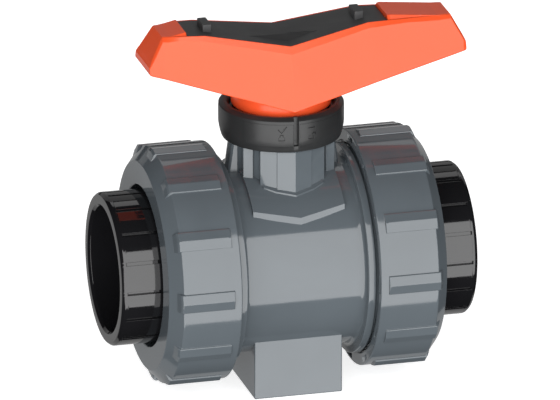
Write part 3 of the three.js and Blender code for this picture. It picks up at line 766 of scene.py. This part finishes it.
def build_ring():
    def loop(phi):
        s = math.sin(phi / 2)
        mm = 2 * math.asin(abs(s)) * 31.0                 # arc distance from the front centre
        panel = 0.0 if mm < 1.6 or mm > 27.0 else 1.0       # the two faces either side of the groove stand 0.25 proud
        lift = 0.22 * panel
        g = 0.0 if mm > 1.15 else 2.5
        out = [(64.3, 24.6), (64.3, 28.3), (64.15, 28.6), (63.85, 28.75), (63.7, 28.95), (63.7, 29.35), (63.85, 29.7), (64.4, 30.0), (65.6, 30.35), (66.9, 30.7 - g * 0.15 + lift * 0.3),
               (67.4, 30.8 - g * 0.6 + lift),
               (69.0, 31.1 - g + lift), (70.5, 31.35 - g + lift), (74.0, 31.4 - g + lift), (76.5, 31.4 - g + lift), (78.6, 31.4 - g + lift),
               (78.9, 31.37 - g + lift * 0.4), (79.1, 31.35 - g), (80.2, 31.3 - g), (80.55, 31.05 - g * 0.9), (80.8, 30.75 - g * 0.8), (81.7, 29.55 - g * 0.3), (81.95, 29.2), (82.0, 28.8)]
        out += [(82.0, 28.0), (81.9, 27.6), (81.6, 27.25), (80.4, 26.15), (80.1, 25.95), (79.7, 25.9), (79.0, 25.9), (78.7, 25.7), (78.7, 24.6), (78.5, 24.3), (78.2, 24.2),
                (64.7, 24.2), (64.4, 24.35)]
        return out

    phis = []
    fine = [0.0, 0.5, 1.05, 1.13, 1.2, 1.35, 1.55, 1.65, 2.2, 26.5, 26.95, 27.05, 27.6]
    for f in fine:
        phis.append(f / 31.0)
        if f:
            phis.append(-f / 31.0)
    step = math.radians(2.5)
    a = 2.2 / 31.0
    while a + step < 26.4 / 31.0:
        a += step
        phis += [a, -a]
    a = 27.7 / 31.0
    while a + step < math.pi - 0.01:
        a += step
        phis += [a, -a]
    phis.append(math.pi)
    phis = sorted(set(round(p % TAU, 7) for p in phis))
    ob = around_z("twist_ring", loop, phis, sharp=24)
    ob.data.transform(Matrix.Rotation(-0.4 / 31.0, 4, "Z"))
    cuts = []
    r0, r1 = 31.12, 33.0
    # tick and bar
    cuts.append(stroke("c", [(-9.6, 76.5), (-8.0, 74.9), (-5.4, 77.9)], 0.5, r0, r1))
    cuts.append(rect_on_ring("c", 7.4 / 31.0, 3.8, 76.2, 76.7, r0, r1))
    # closed padlock and open padlock
    for s, shift in ((-7.8, 0.0), (7.2, 1.7)):
        zb = 70.5
        cuts.append(rect_on_ring("c", s / 31.0, 3.0, zb, zb + 1.75, r0, r1))
        cx, cz = s + shift, zb + 2.35
        arc = [(cx - 0.85, zb + (1.6 if not shift else 1.6)), (cx - 0.85, cz)]
        for k in range(1, 6):
            t = math.pi - math.pi * k / 6
            arc.append((cx + 0.85 * math.cos(t), cz + 0.85 * math.sin(t)))
        arc += [(cx + 0.85, cz), (cx + 0.85, zb + (1.6 if not shift else 2.1))]
        cuts.append(stroke("c", arc, 0.4, r0, r1))
    for c in cuts:
        boolean(ob, c, "DIFFERENCE")
    # grip grooves on the sides and back of the ring
    for k in range(18):
        p = math.radians(100 + k * 160 / 17)
        boolean(ob, rect_on_ring("g", p, 1.3, 68.4, 78.2, 30.75, 33.0, n=2), "DIFFERENCE")
    return tidy(ob, 24)


dress(build_ring(), "ring", "ring", "black_satin", "lock_ring")


# ------------------------------------------------------------------ lever
def flank(x, z):
    wide = 1.1 * max(0.0, (-x - 63.5) / 7.7)          # the left tip opens out a little
    return 46.2 - 0.2246 * z + (0.1187 if x < 0 else -0.096) * x + wide


def round_corners(pts, radii, n=4):
    """Open polyline with its inner corners rounded: radii for every point, 0 at the ends. Constant point count."""
    out = []
    for i, p in enumerate(pts):
        r = radii[i]
        if not r:
            out.append(tuple(p))
            continue
        a, b, c = (np.array(pts[i - 1], float), np.array(p, float), np.array(pts[i + 1], float))
        u, v = a - b, c - b
        lu, lv = np.linalg.norm(u), np.linalg.norm(v)
        u /= lu
        v /= lv
        ang = math.acos(max(-1, min(1, float(u @ v))))
        d = min(r / math.tan(ang / 2), lu * 0.49, lv * 0.49)
        rr = d * math.tan(ang / 2)
        centre = b + (u + v) / np.linalg.norm(u + v) * (rr / math.sin(ang / 2))
        p0, p1 = b + u * d, b + v * d
        a0, a1 = p0 - centre, p1 - centre
        for k in range(n + 1):
            t = k / n
            w = a0 * (1 - t) + a1 * t
            w = w / np.linalg.norm(w) * rr
            out.append(tuple(centre + w))
    return out


# x, bottom, side line, top, half width of the top, corner softness
LEVER = [
    (-71.2, 105.0, 109.0, 109.2, 14.4, 0.0),
    (-63.5, 102.65, 122.6, 123.0, 10.6, 1.0),
    (-52.0, 99.1, 121.0, 123.2, 12.3, 0.0),
    (-42.5, 96.2, 120.3, 122.85, 12.8, 0.0),
    (0.0, 83.3, 111.9, 115.5, 19.0, 0.0),
    (41.2, 92.6, 120.2, 122.7, 13.6, 0.0),
    (52.3, 95.0, 120.5, 122.5, 12.6, 0.0),
    (84.6, 101.9, 121.6, 122.0, 10.8, 1.0),
    (92.1, 103.6, 108.1, 108.3, 12.7, 0.0),
]


def lever_half(x, zb, zs, zt, wt, soft, shrink=0.0):
    """Half section from the bottom centre to the top centre as (y, z)."""
    ws = flank(x, zs)
    if soft:                          # spread the two corners so that they round as one
        zs2, wt2 = zs - 1.5, wt - 1.4
    else:
        zs2, wt2 = zs, wt
    r1 = 1.5 if soft else 0.22
    pts = [(0.0, zb), (flank(x, zb), zb), (flank(x, zs2), zs2), (wt2, zt), (0.0, zt)]
    return round_corners(pts, [0, 0.7, r1, r1, 0], 8)


def mixrow(a, b, t):
    return tuple(p + (q - p) * t for p, q in zip(a, b))


def full(x, half):
    """Both sides of a half section, one closed ring."""
    right = [(x, y, PZ + z) for y, z in half]
    left = [(x, -y, PZ + z) for y, z in reversed(half[1:-1])]
    return right + left


def lever_shell():
    secs = []
    # left tip: the end face is 3.8 mm high, with its edges eased
    x0, zb, zs, zt, wt, _ = LEVER[0]
    def tip(x, zb, zt, wb, wt, r):
        pts = [(0.0, zb), (wb, zb), (wt + (wb - wt) * 0.12, zt - (zt - zb) * 0.12 - 0.25), (wt - 0.55, zt), (0.0, zt)]
        return round_corners(pts, [0, 0.5 * r, 0.55 * r, 0.55 * r, 0], 8)
    secs.append(full(-71.2, tip(-71.2, 105.7, 108.75, flank(-71.2, 105.6) - 0.8, 13.6, 1.0)))
    secs.append(full(-71.0, tip(-71.0, 105.3, 109.1, flank(-71.0, 105.5) - 0.25, 14.1, 1.0)))
    secs.append(full(-70.6, tip(-70.6, 104.95, 109.95, flank(-70.6, 105.2), 14.1, 1.2)))
    a, b = LEVER[0], LEVER[1]
    for t in (0.22, 0.4, 0.6, 0.8, 0.93):
        r = mixrow(a, b, t)
        secs.append(full(r[0], lever_half(*r[:5], 1.0)))
    for t, dz in ((1.0, -0.12), (1.07, -0.1)):
        if t <= 1:
            secs.append(full(b[0], [(y, z + (dz if z > 121.5 else 0)) for y, z in lever_half(*b[:5], 1.0)]))
    order = [(LEVER[1], LEVER[2], (0.06, 0.2, 0.45, 0.7)), (LEVER[2], LEVER[3], (0.0, 0.5)), (LEVER[3], LEVER[4], (0.0, 0.5)),
             (LEVER[4], LEVER[5], (0.0, 0.5)), (LEVER[5], LEVER[6], (0.0, 0.5)), (LEVER[6], LEVER[7], (0.0, 0.3, 0.55, 0.8, 0.94))]
    for a, b, ts in order:
        for t in ts:
            r = mixrow(a, b, t)
            soft = 0.0
            if a is LEVER[1] or a is LEVER[6]:
                k = 1 - t if a is LEVER[1] else t
                if k > 0.25:
                    # fade from the crisp chamfer to the soft corner
                    f = min(1.0, (k - 0.25) / 0.5)
                    crisp = lever_half(*r[:5], 0.0)
                    round_ = lever_half(*r[:5], 1.0)
                    half = [(y0 + (y1 - y0) * f, z0 + (z1 - z0) * f) for (y0, z0), (y1, z1) in zip(crisp, round_)]
                    secs.append(full(r[0], half))
                    continue
            secs.append(full(r[0], lever_half(*r[:5], soft)))
    b = LEVER[7]
    secs.append(full(b[0], [(y, z + (-0.12 if z > 120.5 else 0)) for y, z in lever_half(*b[:5], 1.0)]))
    a, b = LEVER[7], LEVER[8]
    for t in (0.07, 0.2, 0.4, 0.6, 0.78):
        r = mixrow(a, b, t)
        secs.append(full(r[0], lever_half(*r[:5], 1.0)))
    secs.append(full(91.5, tip(91.5, 103.5, 109.05, flank(91.5, 104.0), 12.35, 1.2)))
    secs.append(full(91.9, tip(91.9, 103.85, 108.2, flank(91.9, 104.2) - 0.3, 12.35, 1.0)))
    secs.append(full(92.1, tip(92.1, 104.3, 107.85, flank(92.1, 104.5) - 0.9, 11.8, 1.0)))
    return loft("lever_body", secs, 20)


def pad(x0, z0, w0, x1, z1, w1):
    """Raised finger pad with sloping sides: one end stands at the clip, the other runs out level with the lever."""
    secs = []
    d = math.copysign(1.0, x1 - x0)
    inner_first = abs(x0) < abs(x1)
    for t in (0.0, 0.04, 0.5, 0.97, 1.0):
        x, z, w = x0 + (x1 - x0) * t, z0 + (z1 - z0) * t, w0 + (w1 - w0) * t
        k = (1 - t) if inner_first else t                # 1 at the clip, 0 at the tip
        side = 0.5 + 1.5 * k
        drop = 0.3 if (t == 0.0 and inner_first) or (t == 1.0 and not inner_first) else 0.0
        pts = [(0.0, z - 5), (w, z - 5), (w, z - 2.6), (w - side - drop, z - drop), (0.0, z - drop)]
        secs.append(full(x, round_corners(pts, [0, 0.01, 0.01, 0.4, 0], 3)))
    return loft("pad", secs, 24)


CLIP = [(-51.0, 123.15, 11.5), (-42.5, 122.8, 12.0), (0.0, 115.5, 18.2), (41.2, 122.65, 12.8), (51.4, 122.5, 11.8)]


def v_slab(name, rows, lo, hi, dw, ex):
    secs = []
    for x, z, w in rows:
        px = x + math.copysign(ex, x) * (1 if abs(x) > 50 else 0)
        secs.append([(px, -w - dw, PZ + z + lo), (px, w + dw, PZ + z + lo), (px, w + dw, PZ + z + hi), (px, -w - dw, PZ + z + hi)])
    return loft(name, secs)


def build_lever():
    ob = lever_shell()
    hub = solid_z("hub", [(80.2, 24.2), (80.3, 24.5), (80.55, 24.8), (80.9, 25.0), (81.3, 25.1), (89.0, 25.1), (90.0, 25.1)], 120)
    boolean(ob, hub, "UNION")
    boolean(ob, pad(-63.6, 122.2, 10.2, -51.35, 124.75, 11.9), "UNION")
    boolean(ob, pad(51.75, 124.7, 12.1, 84.7, 121.4, 10.5), "UNION")
    # hollow arms with cross webs
    def hollow(a, b, ta, tb):
        secs = []
        for t in (ta, tb):
            x, zb, _, zt = mixrow(a, b, t)[:4]
            m = 2.8
            wb, ws = flank(x, zb - 4) - m, flank(x, zt - 4.6) - m
            secs.append([(x, -wb, PZ + zb - 4), (x, wb, PZ + zb - 4), (x, ws, PZ + zt - 4.6), (x, -ws, PZ + zt - 4.6)])
        return loft("hollow", secs)
    L = LEVER
    left = hollow(L[1], L[2], 0.1, 1)
    boolean(left, hollow(L[2], L[3], 0, 1), "UNION")
    boolean(left, hollow(L[3], L[4], 0, 0.36), "UNION")
    right = hollow(L[4], L[5], 0.66, 1)
    boolean(right, hollow(L[5], L[6], 0, 1), "UNION")
    boolean(right, hollow(L[6], L[7], 0, 0.93), "UNION")
    for cut, webs in ((left, (-55.5, -41.5)), (right, (39.5, 54.0, 68.5))):
        for x in webs:                               # webs stop 3 mm above the lower edge
            zb = 83.3 + abs(x) * (0.305 if x < 0 else 0.2225)
            boolean(cut, block("web", x - 0.7, x + 0.7, -30, 30, PZ + zb + 3.0, PZ + 130), "DIFFERENCE")
        spine = block("spine", *(sorted((-62.0, -28.5)) if cut is left else (28.5, 82.0)), -0.75, 0.75, PZ + 104.5, PZ + 130)
        boolean(cut, spine, "DIFFERENCE")
        boolean(ob, cut, "DIFFERENCE")
    boolean(ob, v_slab("seat", CLIP, -1.6, 7, 0.3, 0.3), "DIFFERENCE")
    boolean(ob, block("socket", -7.3, 7.3, -7.3, 7.3, PZ + 78, PZ + 96.4, 0.5, 1), "DIFFERENCE")
    boolean(ob, block("keelway", -15.3, 15.3, -5.3, 5.3, PZ + 107.5, PZ + 130), "DIFFERENCE")
    # relief ring in the hub's underside
    relief = around_z("relief", lambda p: [(78.0, 13.0), (78.0, 21.5), (85.5, 21.5), (86.0, 21.0), (86.0, 13.5), (85.5, 13.0)], even(96))
    for k in range(6):
        a = k * math.pi / 3 + math.pi / 6
        c, s = math.cos(a), math.sin(a)
        rib = prism_z("rib", [(12 * c - 0.8 * s, 12 * s + 0.8 * c), (12 * c + 0.8 * s, 12 * s - 0.8 * c), (22.5 * c + 0.8 * s, 22.5 * s - 0.8 * c), (22.5 * c - 0.8 * s, 22.5 * s + 0.8 * c)],
                      PZ + 77, PZ + 88)
        boolean(relief, rib, "DIFFERENCE")
    boolean(ob, relief, "DIFFERENCE")
    tidy(ob, 22)
    return shade_by(ob, lambda x, y, z: 9.0 if z > PZ + 85 and abs(y) > 8 else 20.0)


dress(build_lever(), "orange", "lever", "orange_plastic", "handle")


# ------------------------------------------------------------------ clip on the lever
def clip_top(x):
    for (x0, z0, _), (x1, z1, _) in zip(CLIP, CLIP[1:]):
        if x <= x1:
            return z0 + (z1 - z0) * (x - x0) / (x1 - x0)
    return CLIP[-1][1]


def build_clip():
    secs = []
    rows = []
    for i in range(len(CLIP) - 1):
        for t in ((0.0, 0.03, 0.97) if i == 0 else (0.03, 0.5, 0.97)):
            rows.append(mixrow(CLIP[i], CLIP[i + 1], t))
    rows.append(CLIP[-1])
    for i, (x, z, w) in enumerate(rows):
        e = 0.2 if i in (0, len(rows) - 1) else 0.0
        pts = [(0.0, z - 1.3 + e), (w - e, z - 1.3 + e), (w - e, z - e), (0.0, z - e)]
        secs.append(full(x, round_corners(pts, [0, 0.2, 0.35, 0], 3)))
    ob = loft("lever_clip", secs, 24)
    for x in (-39.5, 38.5):
        lug = block("lug", x - 2.3, x + 2.3, -5.7, 5.7, PZ + 121.6, PZ + 126.2, 0.45, 3)
        boolean(ob, lug, "UNION")
    # sunken wedge in the middle
    pts = [(-19.0, -6.9), (0.0, -10.2), (17.0, -6.7), (3.0, 0.7)]
    def at(x, dz):
        return PZ + (115.5 + abs(x) * (7.3 / 42.5 if x < 0 else 7.15 / 41.2)) + dz
    low = [(x, y, at(x, d)) for (x, y), d in zip(pts, (-0.35, -0.04, -0.35, -1.0))]
    high = [(x, y, at(x, 3.0)) for x, y in pts]
    boolean(ob, loft("wedge", [low, high]), "DIFFERENCE")
    boolean(ob, block("keel", -15, 15, -5, 5, PZ + 108, PZ + 115.9, 0.4, 2), "UNION")
    return tidy(ob, 24)


dress(build_clip(), "clip", "clip", "clip_black", "handle_clip")


# ------------------------------------------------------------------ floor, light, camera
def plane(name, size, z, mat):
    me = bpy.data.meshes.new(name)
    s = size / 2
    me.from_pydata([(-s, -s, z), (s, -s, z), (s, s, z), (-s, s, z)], [], [(0, 1, 2, 3)])
    ob = link(bpy.data.objects.new(name, me))
    ob.data.materials.append(mat)
    return ob


def floor_material():
    mat = bpy.data.materials.new("floor")
    nt, N, L = nodes_of(mat)
    out = N.new("ShaderNodeOutputMaterial")
    bsdf = N.new("ShaderNodeBsdfPrincipled")
    bsdf.inputs["Base Color"].default_value = (0.9, 0.9, 0.9, 1)
    bsdf.inputs["Roughness"].default_value = 0.9
    bsdf.inputs["Specular IOR Level"].default_value = 0.1
    bsdf.inputs["Emission Color"].default_value = (1, 1, 1, 1)
    bsdf.inputs["Emission Strength"].default_value = 0.7
    L.new(bsdf.outputs[0], out.inputs[0])
    return mat


floor = plane("floor", 40.0, 0.0, floor_material())
floor.visible_glossy = False
floor.visible_shadow = False
floor.visible_diffuse = False

world = bpy.data.worlds.new("world")
scene.world = world
world.use_nodes = True
bg = world.node_tree.nodes.get("Background")
bg.inputs[0].default_value = (1, 1, 1, 1)
light_path = world.node_tree.nodes.new("ShaderNodeLightPath")    # the backdrop beyond the floor is white, the fill stays dim
strength = world.node_tree.nodes.new("ShaderNodeMath")
strength.operation = "MULTIPLY_ADD"
strength.inputs[1].default_value, strength.inputs[2].default_value = 0.75, 0.25
world.node_tree.links.new(light_path.outputs["Is Camera Ray"], strength.inputs[0])
world.node_tree.links.new(strength.outputs[0], bg.inputs[1])
world.cycles_visibility.glossy = False

TARGET = Vector((0.0, 0.0, PZ * MM))


def panel(name, az, el, dist, w, h, radiance, aim=None):
    """Soft area light. az is measured from -Y (the front) towards +X, el above the horizon, degrees."""
    a, e = math.radians(az), math.radians(el)
    pos = TARGET + Vector((math.sin(a) * math.cos(e), -math.cos(a) * math.cos(e), math.sin(e))) * dist
    li = bpy.data.lights.new(name, "AREA")
    li.shape = "RECTANGLE"
    li.size, li.size_y = w, h
    li.energy = radiance * math.pi * w * h * 1.0
    ob = link(bpy.data.objects.new(name, li))
    ob.location = pos
    ob.rotation_euler = ((aim or TARGET) - pos).to_track_quat("-Z", "Y").to_euler()
    ob.visible_camera = False
    return ob


# one broad front panel, a strip above and behind, and dim fills behind
panel("front_panel", -10, 0, 3.0, 7.2, 5.9, 2.6)
panel("back_high", 165, 22, 3.0, 4.5, 2.0, 0.26)
panel("back_top", 159, 48.5, 3.0, 2.2, 0.6, 0.8)
panel("back_low", 180, -32, 3.2, 6.5, 3.6, 0.4)
rear_fill = panel("rear_fill", 180, 0, 3.0, 3.0, 2.0, 3.0)      # lights the back without showing in the gloss
rear_fill.visible_glossy = False

cam_data = bpy.data.cameras.new("camera")
cam = link(bpy.data.objects.new("camera", cam_data))
scene.camera = cam
cam_dir = Vector((-0.243, -0.908, 0.342)).normalized()
right = Vector((0.966, -0.259, 0.0)).normalized()
up = cam_dir.cross(right)
aim_at = TARGET + up * (26.3 * MM) - right * (0.55 * MM)
cam.location = aim_at + cam_dir * 7.766
rot = (-cam_dir).to_track_quat("-Z", "Y")
cam.rotation_euler = rot.to_euler()
cam_data.lens = 1000.0
cam_data.sensor_width = 36.0
cam_data.clip_end = 100.0
scene.view_settings.view_transform = "Standard"
